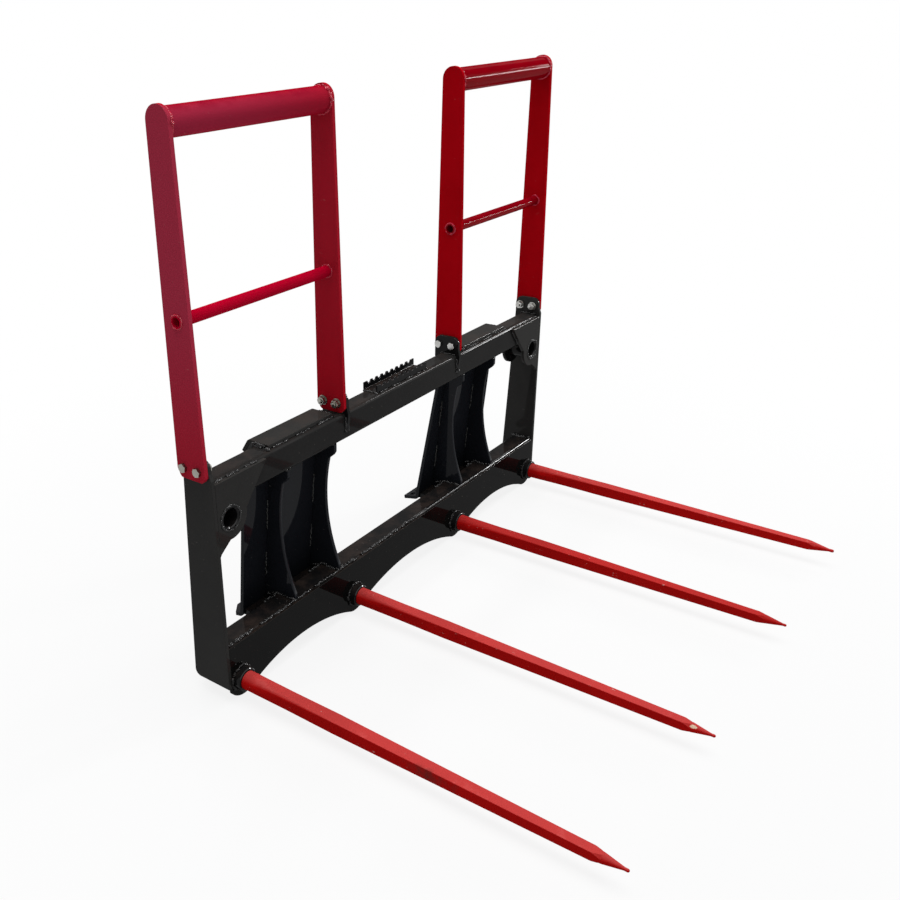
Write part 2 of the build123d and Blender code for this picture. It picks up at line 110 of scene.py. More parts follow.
class Bench:
    """Operator steps that every new piece goes through."""

    @staticmethod
    def clear() -> None:
        """Leaves nothing selected."""
        bpy.ops.object.select_all(action="DESELECT")

    @staticmethod
    def take(piece: Object) -> None:
        """Selects one piece alone and makes it active.

        Args:
            piece: what is selected.
        """
        Bench.clear()
        piece.select_set(True)
        bpy.context.view_layer.objects.active = piece

    @staticmethod
    def named(name: str) -> Object:
        """Names the piece that was just added or joined.

        Args:
            name: the name of the piece and of its mesh.

        Returns:
            The piece.
        """
        piece = bpy.context.active_object
        piece.name = name
        piece.data.name = name
        return piece

    @staticmethod
    def twin(piece: Object, name: str) -> Object:
        """Copies a piece together with its mesh.

        Args:
            piece: what is copied.
            name: the copy's name.

        Returns:
            The copy, linked to the scene.
        """
        copy = piece.copy()
        copy.data = piece.data.copy()
        copy.name = name
        copy.data.name = name
        bpy.context.scene.collection.objects.link(copy)
        return copy

    @staticmethod
    def settle(piece: Object) -> None:
        """Moves a piece's place, turn and scale into its mesh."""
        Bench.take(piece)
        bpy.ops.object.transform_apply(location=True, rotation=True, scale=True)

    @staticmethod
    def apply(piece: Object) -> None:
        """Applies all of a piece's modifiers in order.

        Args:
            piece: what carries them.
        """
        Bench.take(piece)
        for modifier in list(piece.modifiers):
            bpy.ops.object.modifier_apply(modifier=modifier.name)

    @staticmethod
    def edit(piece: Object) -> None:
        """Opens a piece in edit mode with all of it selected.

        Args:
            piece: what is edited.
        """
        Bench.take(piece)
        bpy.ops.object.mode_set(mode="EDIT")
        bpy.ops.mesh.select_all(action="SELECT")

    @staticmethod
    def leave() -> None:
        """Goes back to object mode."""
        bpy.ops.object.mode_set(mode="OBJECT")

    @staticmethod
    def join(pieces: Sequence[Object], name: str) -> Object:
        """Joins several pieces into one.

        Args:
            pieces: what is joined.
            name: the joined piece's name.

        Returns:
            The joined piece.
        """
        Bench.take(pieces[0])
        for piece in pieces:
            piece.select_set(True)
        bpy.ops.object.join()
        return Bench.named(name)

    @staticmethod
    def drop(piece: Object) -> None:
        """Deletes a helper and its mesh.

        Args:
            piece: what is deleted.
        """
        mesh = piece.data
        bpy.data.objects.remove(piece)
        bpy.data.meshes.remove(mesh)

    @staticmethod
    def cut(piece: Object, tool: Object, operation: str) -> None:
        """Cuts or meets a piece with a tool, which is then deleted.

        Args:
            piece: what is shaped.
            tool: the solid that shapes it.
            operation: DIFFERENCE or INTERSECT.
        """
        modifier = piece.modifiers.new("shape", "BOOLEAN")
        modifier.operation = operation
        modifier.solver = "EXACT"
        modifier.object = tool
        Bench.apply(piece)
        Bench.drop(tool)

    @staticmethod
    def finish(piece: Object, material: Material, slot: Slot, angle: float) -> None:
        """Shades a piece, paints it and makes it ride with the frame.

        Args:
            piece: the finished mesh.
            material: its only material.
            slot: not used.
            angle: edges sharper than this, in degrees, stay crisp.
        """
        Bench.take(piece)
        bpy.ops.object.shade_smooth_by_angle(angle=math.radians(angle))
        piece.data.materials.clear()
        piece.data.materials.append(material)
        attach(piece, "root")
        LOG.info("%s: %d faces", piece.name, len(piece.data.polygons))


class Graph:
    """Short way to add and link nodes in one tree."""

    MIX_A, MIX_B, MIX_RESULT = 6, 7, 2  # the colour sockets of a Mix node

    def __init__(self, tree: NodeTree) -> None:
        """Takes a node tree and empties it."""
        self.tree = tree
        self.tree.nodes.clear()

    @classmethod
    def of(cls, owner: Material | bpy.types.World) -> "Graph":
        """Starts the nodes of a material or a world."""
        owner.use_nodes = True
        return cls(owner.node_tree)

    def add(self, kind: str, **settings: object) -> Node:
        """Adds a node.

        Args:
            kind: the node's type name without its ShaderNode prefix.
            settings: attributes to set on it.

        Returns:
            The node.
        """
        node = self.tree.nodes.new(kind if kind.startswith("NodeGroup") else f"ShaderNode{kind}")
        for key, value in settings.items():
            setattr(node, key, value)
        return node

    def link(self, source: Socket, target: Socket) -> None:
        """Joins an output to an input."""
        self.tree.links.new(source, target)

    def fill(self, node: Node, values: dict[str | int, Feed]) -> Node:
        """Feeds several inputs of a node.

        Args:
            node: the node.
            values: the output that is linked to each input, or the constant that is set on it.

        Returns:
            The node.
        """
        for key, value in values.items():
            socket = node.inputs[key]
            if isinstance(value, Socket):
                self.link(value, socket)
            else:
                socket.default_value = (*value, 1.0) if socket.type == "RGBA" else value
        return node

    def noise(self, coords: Socket, scale: Feed, detail: float = 3.0, rough: float = 0.55) -> Socket:
        """Noise with a frequency, a number of octaves and the weight of the finer ones."""
        values = {"Vector": coords, "Scale": scale, "Detail": detail, "Roughness": rough}
        return self.fill(self.add("TexNoise"), values).outputs["Fac"]

    def span(self, value: Socket, source: Pair, target: Pair = (0.0, 1.0)) -> Socket:
        """Maps a value smoothly from one range to another, clamped.

        Args:
            value: the value to map.
            source: its range.
            target: what the ends of that range become.

        Returns:
            The mapped value.
        """
        names = ("Value", "From Min", "From Max", "To Min", "To Max")
        node = self.add("MapRange", interpolation_type="SMOOTHSTEP")
        return self.fill(node, dict(zip(names, (value, *source, *target)))).outputs["Result"]

    def math(self, operation: str, first: Socket, second: Feed) -> Socket:
        """Combines two values."""
        return self.fill(self.add("Math", operation=operation), {0: first, 1: second}).outputs[0]

    def product(self, first: Socket, *others: Feed) -> Socket:
        """Multiplies values.

        Args:
            first: the first value.
            others: what it is multiplied by.

        Returns:
            The product.
        """
        for other in others:
            first = self.math("MULTIPLY", first, other)
        return first

    def vector(self, operation: str, first: Socket, second: Triple = CENTRE) -> Outputs:
        """Combines a vector with a constant one."""
        return self.fill(self.add("VectorMath", operation=operation), {0: first, 1: second}).outputs

    def parts(self, vector: Socket) -> Outputs:
        """X, Y and Z of a vector."""
        return self.fill(self.add("SeparateXYZ"), {0: vector}).outputs

    def normal(self) -> Socket:
        """The way that the surface faces."""
        return self.add("NewGeometry").outputs["Normal"]

    def blend(self, factor: Socket, first: Feed, second: Feed) -> Socket:
        """Mixes two colours, the first where the factor is 0 and the second where it is 1."""
        values = {"Factor": factor, self.MIX_A: first, self.MIX_B: second}
        return self.fill(self.add("Mix", data_type="RGBA"), values).outputs[self.MIX_RESULT]

    def group(self, tree: NodeTree, coords: Socket, **values: Feed) -> Outputs:
        """Adds a shared group that reads the coordinates."""
        return self.fill(self.add("Group", node_tree=tree), {"Coords": coords, **values}).outputs

    def bump(self, height: Socket, strength: float, distance: float) -> Socket:
        """Normal of a surface that is raised by a height."""
        values = {"Height": height, "Strength": strength, "Distance": distance}
        return self.fill(self.add("Bump"), values).outputs["Normal"]

    def mix(self, factor: Socket, first: Node, second: Node) -> Node:
        """Mixes two shaders."""
        return self.fill(self.add("MixShader"), {0: factor, 1: first.outputs[0], 2: second.outputs[0]})

    def surface(self, shader: Node, output: str = "OutputMaterial") -> None:
        """Links a shader to the output."""
        self.link(shader.outputs[0], self.add(output).inputs["Surface"])


@dataclass
class Effects:
    """Shader node groups that the finishes share."""

    groups: dict[str, NodeTree] = field(default_factory=dict)

    def build(self) -> None:
        """Makes every group once."""
        for make in (self.peel, self.mottle, self.dust_and_top_shading, self.scuff, self.gloss):
            self.groups[make.__name__] = make()

    def start(
        self, name: str, inputs: dict[str, Triple | float], outputs: dict[str, Kind],
    ) -> tuple[Graph, Outputs, Inputs]:
        """Makes an empty group with its sockets.

        Args:
            name: the group's name.
            inputs: name and default of each input after the coordinates.
            outputs: name and type of each output.

        Returns:
            The graph, what comes into it and what leaves it.
        """
        tree = bpy.data.node_groups.new(name, "ShaderNodeTree")
        tree.interface.new_socket("Coords", in_out="INPUT", socket_type=Kind.VECTOR.value)
        for label, default in inputs.items():
            kind = Kind.COLOUR if isinstance(default, tuple) else Kind.FLOAT
            socket = tree.interface.new_socket(label, in_out="INPUT", socket_type=kind.value)
            socket.default_value = (*default, 1.0) if isinstance(default, tuple) else default
        for label, kind in outputs.items():
            tree.interface.new_socket(label, in_out="OUTPUT", socket_type=kind.value)
        graph = Graph(tree)
        return graph, graph.add("NodeGroupInput").outputs, graph.add("NodeGroupOutput").inputs

    def peel(self) -> NodeTree:
        """Orange peel of sprayed paint, as a height.

        Returns:
            The group.
        """
        graph, entry, leave = self.start("orange_peel", {"Scale": 300.0}, {"Height": Kind.FLOAT})
        fine = graph.noise(entry["Coords"], entry["Scale"], detail=1.5, rough=0.5)
        slow = graph.noise(entry["Coords"], scale=11.0, detail=2.0)
        graph.link(graph.math("ADD", fine, graph.product(slow, 0.8)), leave["Height"])
        return graph.tree

    def mottle(self) -> NodeTree:
        """Slow changes of shade where the paint went on thick or thin.

        Returns:
            The group.
        """
        colours = {"Paint": (0.5, 0.1, 0.1), "Thin": (0.3, 0.05, 0.05)}
        graph, entry, leave = self.start("paint_mottle", colours, {"Colour": Kind.COLOUR})
        broad = graph.noise(entry["Coords"], scale=5.5)
        fine = graph.noise(entry["Coords"], scale=42.0, detail=4.0, rough=0.65)
        both = graph.math("ADD", graph.product(broad, 0.7), graph.product(fine, 0.3))
        patches = graph.span(both, (0.36, 0.64))
        graph.link(graph.blend(patches, entry["Thin"], entry["Paint"]), leave["Colour"])
        return graph.tree

    def dust_and_top_shading(self) -> NodeTree:
        """Fine dust on faces that look up, which also carries painted top shading: lighter, warmer tops on the
        spears and the black, darker tops on the hoops.

        Returns:
            The group.
        """
        graph, entry, leave = self.start("dust_and_painted_top_shading", {"Amount": 0.3, "Even": 0.0}, {"Mask": Kind.FLOAT})
        facing = graph.span(graph.parts(graph.normal())["Z"], (0.35, 0.95))
        cloud = graph.span(graph.noise(entry["Coords"], scale=16.0, detail=6.0, rough=0.68), (0.36, 0.74))
        cloud = graph.math("MAXIMUM", cloud, entry["Even"])
        graph.link(graph.product(facing, cloud, entry["Amount"]), leave["Mask"])
        return graph.tree

    def scuff(self) -> NodeTree:
        """Small chips and drawn-out scratches in the paint.

        Returns:
            The group.
        """
        masks = {"Mask": Kind.FLOAT, "Rub": Kind.FLOAT}
        graph, entry, leave = self.start("paint_scuffs", {"Chips": 0.2}, masks)
        drawn = {"Vector": entry["Coords"], "Scale": (34.0, 6.0, 34.0), "Rotation": (0.2, 0.1, 0.35)}
        stretch = graph.fill(graph.add("Mapping"), drawn).outputs["Vector"]
        marks = graph.noise(stretch, scale=4.0, detail=5.0, rough=0.7)
        spots = graph.noise(entry["Coords"], scale=150.0, rough=0.6)
        chips = graph.product(graph.span(marks, (0.64, 0.68)), graph.span(spots, (0.52, 0.6)), entry["Chips"])
        graph.link(chips, leave["Mask"])
        graph.link(graph.span(marks, (0.42, 0.7)), leave["Rub"])
        return graph.tree

    def gloss(self) -> NodeTree:
        """Gloss of the top coat: even on walls, dulled on tops, rich along the rounded front edges.

        Returns:
            The group.
        """
        amounts = {"Wall": 0.2, "Top": 0.2, "Edge": 0.2}
        graph, entry, leave = self.start("gloss_coat", amounts, {"Weight": Kind.FLOAT})
        facing = graph.parts(graph.normal())
        up = graph.span(facing["Z"], (0.85, 0.98))
        flow = graph.span(graph.noise(entry["Coords"], scale=21.0, detail=4.0), (0.3, 0.6), (0.35, 1.0))
        rising = graph.span(facing["Z"], (0.30, 0.45))
        falling = graph.span(facing["Z"], (0.68, 0.82), (1.0, 0.0))
        front = graph.span(facing["Y"], (-0.5, -0.3), (1.0, 0.0))
        edge = graph.product(rising, falling, front, flow, entry["Edge"])
        wall = graph.product(graph.span(up, (0.0, 1.0), (1.0, 0.0)), entry["Wall"])
        base = graph.math("ADD", wall, graph.product(up, entry["Top"]))
        graph.link(graph.math("MAXIMUM", graph.math("ADD", base, edge), 0.0), leave["Weight"])
        return graph.tree


@dataclass(frozen=True)
class Mark:
    """One ragged mark in the paint at a fixed place."""

    at: Triple
    squash: Triple
    reach: Pair
    ragged: float
    grain: float
    colour: Triple
    amount: float = 1.0

    def lay(self, graph: Graph, coords: Socket, under: Socket) -> Socket:
        """Lays the mark over a colour.

        Args:
            graph: the material's graph.
            coords: the surface's own coordinates.
            under: the colour below the mark.

        Returns:
            The colour with the mark.
        """
        away = graph.vector("SUBTRACT", coords, self.at)["Vector"]
        near = graph.vector("MULTIPLY", away, self.squash)["Vector"]
        rough = graph.product(graph.noise(coords, self.grain, detail=4.0), self.ragged)
        length = graph.math("ADD", graph.vector("LENGTH", near)["Value"], rough)
        return graph.blend(graph.span(length, self.reach, (self.amount, 0.0)), under, self.colour)


@dataclass(frozen=True)
class PaintedReflection:
    """Painted reflection: a pale sheen on faces that look one way, fading across the part and downwards."""

    colour: Triple
    across: Pair = (-0.78, 0.05)
    rise: Pair = (0.5, 1.0)
    lowest: float = 0.4
    facing: Triple = (-0.8, -0.6, 0.0)
    turn: Pair = (0.0, 0.5)

    def lay(self, graph: Graph, coords: Socket, under: Socket) -> Socket:
        """Lays the painted reflection over a colour.

        Args:
            graph: the material's graph.
            coords: the surface's own coordinates.
            under: the colour below the painted reflection.

        Returns:
            The colour with the painted reflection.
        """
        place = graph.parts(coords)
        across = graph.span(place["X"], self.across, (1.0, 0.0))
        upward = graph.span(place["Z"], self.rise, (self.lowest, 1.0))
        towards = graph.vector("DOT_PRODUCT", graph.normal(), self.facing)["Value"]
        share = graph.product(across, upward, graph.span(towards, self.turn))
        return graph.blend(share, under, self.colour)


@dataclass(frozen=True)
class Paint:
    """Sprayed paint over steel, with the gloss of walls, tops and edges."""

    name: str
    colour: Triple
    thin: Triple
    # Colour and amount of the dust on the tops, which also carries painted top light and shade.
    dust_and_top_shading_colour: Triple
    dust_and_top_shading: float
    chips: float
    roughness: float
    gloss: Triple
    gloss_roughness: float = 0.06
    dust_and_top_shading_even: float = 0.0
    # Painted reflection laid into the colour, if there is one.
    painted_reflection: PaintedReflection | None = None
    marks: tuple[Mark, ...] = ()
    steel: Triple = (0.46, 0.40, 0.36)
    peel: float = 320.0
    depth: float = 0.0012

    def material(self, effects: Effects) -> Material:
        """Builds the paint's material.

        Args:
            effects: the shared node groups.

        Returns:
            The material.
        """
        material = bpy.data.materials.new(self.name)
        graph, groups = Graph.of(material), effects.groups
        coords = graph.add("TexCoord").outputs["Object"]
        colour = graph.group(groups["mottle"], coords, Paint=self.colour, Thin=self.thin)["Colour"]
        peel = graph.group(groups["peel"], coords, Scale=self.peel)["Height"]
        dust_and_top_shading = graph.group(groups["dust_and_top_shading"], coords, Amount=self.dust_and_top_shading, Even=self.dust_and_top_shading_even)["Mask"]
        scuff = graph.group(groups["scuff"], coords, Chips=self.chips)
        bare = scuff["Mask"]
        wall, top, edge = self.gloss
        # Painted reflection: a pale sheen laid into the colour on faces turned one way.
        if self.painted_reflection is not None:
            colour = self.painted_reflection.lay(graph, coords, colour)
        # Dust on the tops: partly real dust, partly painted light and shade on the tops.
        colour = graph.blend(dust_and_top_shading, colour, self.dust_and_top_shading_colour)
        colour = graph.blend(bare, colour, self.steel)
        for mark in self.marks:
            colour = mark.lay(graph, coords, colour)
        rough = graph.math("ADD", graph.product(scuff["Rub"], 0.10), self.roughness)
        height = graph.math("SUBTRACT", peel, graph.product(bare, 1.2))
        shader = graph.fill(graph.add("BsdfPrincipled"), {
            "Base Color": colour,
            "Roughness": graph.math("ADD", rough, graph.product(dust_and_top_shading, 0.5)),
            "Metallic": graph.product(bare, 0.8),
            "Normal": graph.bump(height, strength=0.35, distance=self.depth),
            "Specular IOR Level": 0.0,
            "Coat Weight": graph.group(groups["gloss"], coords, Wall=wall, Top=top, Edge=edge)["Weight"],
            "Coat Roughness": self.gloss_roughness,
        })
        graph.surface(shader)
        return material


@dataclass(frozen=True)
class Steel:
    """Bare or plated steel of the fasteners."""

    name: str
    colour: Triple
    stain: Triple
    roughness: float

    def material(self, effects: Effects) -> Material:
        """Builds the steel's material.

        Args:
            effects: the shared node groups.

        Returns:
            The material.
        """
        material = bpy.data.materials.new(self.name)
        graph, groups = Graph.of(material), effects.groups
        coords = graph.add("TexCoord").outputs["Object"]
        rub = graph.group(groups["scuff"], coords)["Rub"]
        grain = graph.noise(coords, scale=900.0, detail=2.0)
        shader = graph.fill(graph.add("BsdfPrincipled"), {
            "Base Color": graph.group(groups["mottle"], coords, Paint=self.colour, Thin=self.stain)["Colour"],
            "Roughness": graph.math("ADD", graph.product(rub, 0.16), self.roughness),
            "Metallic": 1.0,
            "Normal": graph.bump(grain, strength=0.25, distance=0.0004),
        })
        graph.surface(shader)
        return material


CHIP = Mark(
    at=(-0.2572, -0.5073, 0.0589), squash=(1.2, 0.7, 1.7), reach=(0.0078, 0.0098),
    ragged=0.007, grain=240.0, colour=(0.58, 0.42, 0.30),
)
SMUDGE = Mark(
    at=(-0.7160, -0.1400, 0.0520), squash=(1.0, 0.2, 0.8), reach=(0.014, 0.034),
    ragged=0.032, grain=46.0, colour=(0.085, 0.020, 0.017), amount=0.9,
)


class Finish(Enum):
    """Every finish on the part."""

    # Its warm dust on the tops is partly dust and partly a painted warm reflection.
    BLACK = Paint(
        "gloss_black_paint", (0.0066, 0.0065, 0.0066), (0.0046, 0.0047, 0.0052), (0.050, 0.033, 0.026),
        dust_and_top_shading=0.4, chips=0.15, roughness=0.3, gloss=(0.20, 0.13, 0.8), gloss_roughness=0.03,
    )
    # Lighter copy of the black paint: painted light on the end plates, corner gussets and coupler hooks.
    BLACK_PAINTED_LIGHT = replace(
        BLACK, name="satin_black_paint_painted_light", colour=(0.0225, 0.0220, 0.0209), thin=(0.0190, 0.0186, 0.0180),
        roughness=0.4, gloss=(0.12, 0.08, 0.6), gloss_roughness=0.04,
    )
    # Lighter copy of the black paint: painted light on the top beam.
    BLACK_BEAM_PAINTED_LIGHT = replace(
        BLACK_PAINTED_LIGHT, name="beam_black_paint_painted_light", colour=(0.0155, 0.0152, 0.0149),
        thin=(0.0130, 0.0128, 0.0126), gloss=(0.10, 0.09, 0.25),
    )
    # Lighter, bluish copy of the black paint: painted bluish reflection in the shaded coupler plates and ribs.
    BLACK_INNER_PAINTED_REFLECTION = replace(
        BLACK, name="inner_black_paint_painted_reflection", colour=(0.0108, 0.0120, 0.0150), thin=(0.0090, 0.0101, 0.0128),
        dust_and_top_shading=0.3, roughness=0.35, gloss=(0.16, 0.13, 0.6),
    )
    # Darker copy of the black paint: painted shade on the lower face plate.
    BLACK_PAINTED_SHADE = replace(
        BLACK, name="black_paint_painted_shade", colour=(0.0040, 0.0039, 0.0038), thin=(0.0030, 0.0030, 0.0030),
        gloss=(0.13, 0.10, 0.6),
    )
    BLACK_BEAD = replace(
        BLACK, name="black_paint_on_welds", dust_and_top_shading=0.1, chips=0.2, gloss=(0.55, 0.8, 0.45), gloss_roughness=0.05,
    )
    # Its pale, even dust on the tops is partly dust and partly a painted lighter top.
    SPEAR = Paint(
        "spear_red_paint", (0.365, 0.0045, 0.0040), (0.315, 0.0035, 0.0032), (0.50, 0.105, 0.098),
        dust_and_top_shading=0.54, chips=0.6, roughness=0.5, gloss=(0.012, 0.04, 0.03), gloss_roughness=0.35,
        dust_and_top_shading_even=0.6, marks=(CHIP, SMUDGE),
    )
    # Darker copy of the spear red with less dust: painted shade on the third spear.
    SPEAR_PAINTED_SHADE = replace(
        SPEAR, name="spear_red_paint_painted_shade", colour=(0.315, 0.0040, 0.0036), thin=(0.275, 0.0032, 0.0030),
        dust_and_top_shading=0.25,
    )
    # Its darker dust colour paints the tops darker, a painted shade; its painted reflection is a pale magenta
    # sheen on the left hoop.
    CRIMSON = Paint(
        "hoop_crimson_paint", (0.35, 0.0008, 0.0046), (0.31, 0.0006, 0.0038), (0.22, 0.003, 0.012),
        dust_and_top_shading=0.5, chips=0.1, roughness=0.4, gloss=(0.012, 0.0, 0.0), gloss_roughness=0.07,
        painted_reflection=PaintedReflection((0.35, 0.0275, 0.055)),
    )
    # Darker copy of the hoop red with much darker tops: painted shade on the left tube, with a weaker painted
    # reflection.
    CRIMSON_TUBE_PAINTED_SHADE = replace(
        CRIMSON, name="hoop_tube_crimson_paint_painted_shade", colour=(0.28, 0.0006, 0.0080), thin=(0.25, 0.0006, 0.0070),
        dust_and_top_shading_colour=(0.19, 0.0010, 0.014), dust_and_top_shading=0.9, gloss=(0.02, 0.0, 0.0), painted_reflection=PaintedReflection((0.29, 0.0170, 0.042)),
    )
    # Darker copy of the hoop red with darker tops: painted shade on the right tube and rung.
    CRIMSON_PAINTED_SHADE = replace(
        CRIMSON, name="hoop_crimson_paint_painted_shade", colour=(0.215, 0.0008, 0.0050), thin=(0.185, 0.0006, 0.0040),
        dust_and_top_shading_colour=(0.13, 0.0005, 0.006), dust_and_top_shading=0.6, gloss=(0.09, 0.0, -0.3), gloss_roughness=0.06, painted_reflection=None,
    )
    # Lighter, more magenta copy of the hoop red: painted reflection on the left rung.
    CRIMSON_RUNG_PAINTED_REFLECTION = replace(
        CRIMSON, name="hoop_rung_crimson_paint_painted_reflection", colour=(0.39, 0.0006, 0.0170), thin=(0.35, 0.0006, 0.0150),
        dust_and_top_shading_colour=(0.36, 0.0006, 0.016), dust_and_top_shading=0.3, gloss=(0.02, 0.0, 0.0), painted_reflection=None,
    )
    # Lighter copy of the hoop red: painted highlights on the hoop welds.
    CRIMSON_BEAD_PAINTED_HIGHLIGHT = replace(
        CRIMSON, name="crimson_weld_paint_painted_highlight", colour=(0.46, 0.0190, 0.0460), thin=(0.40, 0.0130, 0.0350),
        dust_and_top_shading_colour=(0.50, 0.040, 0.07), dust_and_top_shading=0.05, gloss=(0.5, 0.5, 0.3), gloss_roughness=0.06, painted_reflection=None,
    )
    ZINC = Steel("bright_zinc_plate", (0.47, 0.47, 0.46), (0.27, 0.26, 0.23), 0.2)
    PLAIN = Steel("plain_nut_steel", (0.40, 0.39, 0.38), (0.20, 0.18, 0.16), 0.34)


Palette = dict[Finish, Material]


@dataclass
class SolidDress:
    """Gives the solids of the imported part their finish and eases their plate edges."""

    palette: Palette
    edge: float = 0.0011
    merge: float = 0.00002
    flat_angle: float = 0.6
    sharp_angle: float = 38.0
    eased: tuple[str, ...] = (
        "end_plate", "corner_gusset", "socket_plate", "coupler_plate", "coupler_hook", "coupler_rib",
        "guard_lug", "guard_bar", "lower_face_plate", "step_tread",
    )
    by_slot: tuple[tuple[Slot, Finish], ...] = (
        (Slot.FRAME, Finish.BLACK),
        (Slot.SPEAR, Finish.SPEAR),
        (Slot.HOOP, Finish.CRIMSON),
        (Slot.ZINC, Finish.ZINC),
        (Slot.PLAIN, Finish.PLAIN),
    )
    # Parts that take a copy of a paint whose colour carries painted light and shade.
    by_name: tuple[tuple[tuple[str, ...], Finish], ...] = (
        (("end_plate", "corner_gusset", "coupler_hook"), Finish.BLACK_PAINTED_LIGHT),
        (("coupler_plate", "coupler_rib"), Finish.BLACK_INNER_PAINTED_REFLECTION),
        (("top_beam",), Finish.BLACK_BEAM_PAINTED_LIGHT),
        (("lower_face_plate",), Finish.BLACK_PAINTED_SHADE),
        (("spear_3",), Finish.SPEAR_PAINTED_SHADE),
        (("guard_top_tube_right", "guard_rung_right"), Finish.CRIMSON_PAINTED_SHADE),
        (("guard_top_tube_left",), Finish.CRIMSON_TUBE_PAINTED_SHADE),
        (("guard_rung_left",), Finish.CRIMSON_RUNG_PAINTED_REFLECTION),
    )

    def dress(self, nodes: dict[str, Object]) -> None:
        """Paints every node and eases the plates.

        Args:
            nodes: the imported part's objects by name.
        """
        common = dict(self.by_slot)
        slots = {row["node"]: Slot(row["material_slot"]) for row in frame["record"]["subparts"]}
        for name, node in nodes.items():
            own = [finish for starts, finish in self.by_name if name.startswith(starts)]
            for place in node.material_slots:
                place.material = self.palette[own[0] if own else common[slots[name]]]
            if name.startswith(self.eased):
                self.ease(node)
            LOG.info("node %s dressed as %s", name, slots[name].value)

    def ease(self, node: Object) -> None:
        """Rounds the sharp edges of a plate with live modifiers, so that they catch the light.

        Args:
            node: the plate.
        """
        weld = node.modifiers.new("weld", "WELD")
        weld.merge_threshold = self.merge
        flat = node.modifiers.new("flat", "DECIMATE")
        flat.decimate_type = "DISSOLVE"
        flat.angle_limit = math.radians(self.flat_angle)
        round_over = node.modifiers.new("edge", "BEVEL")
        round_over.width = self.edge
        round_over.segments = 2
        round_over.limit_method = "ANGLE"
        round_over.angle_limit = math.radians(self.sharp_angle)
        round_over.harden_normals = True


@dataclass(frozen=True)
class Run:
    """One straight bead, in mm from the front plane, whole or in stitches of a length with a gap."""

    start: Triple
    end: Triple
    size: float
    stitch: Pair | None = None


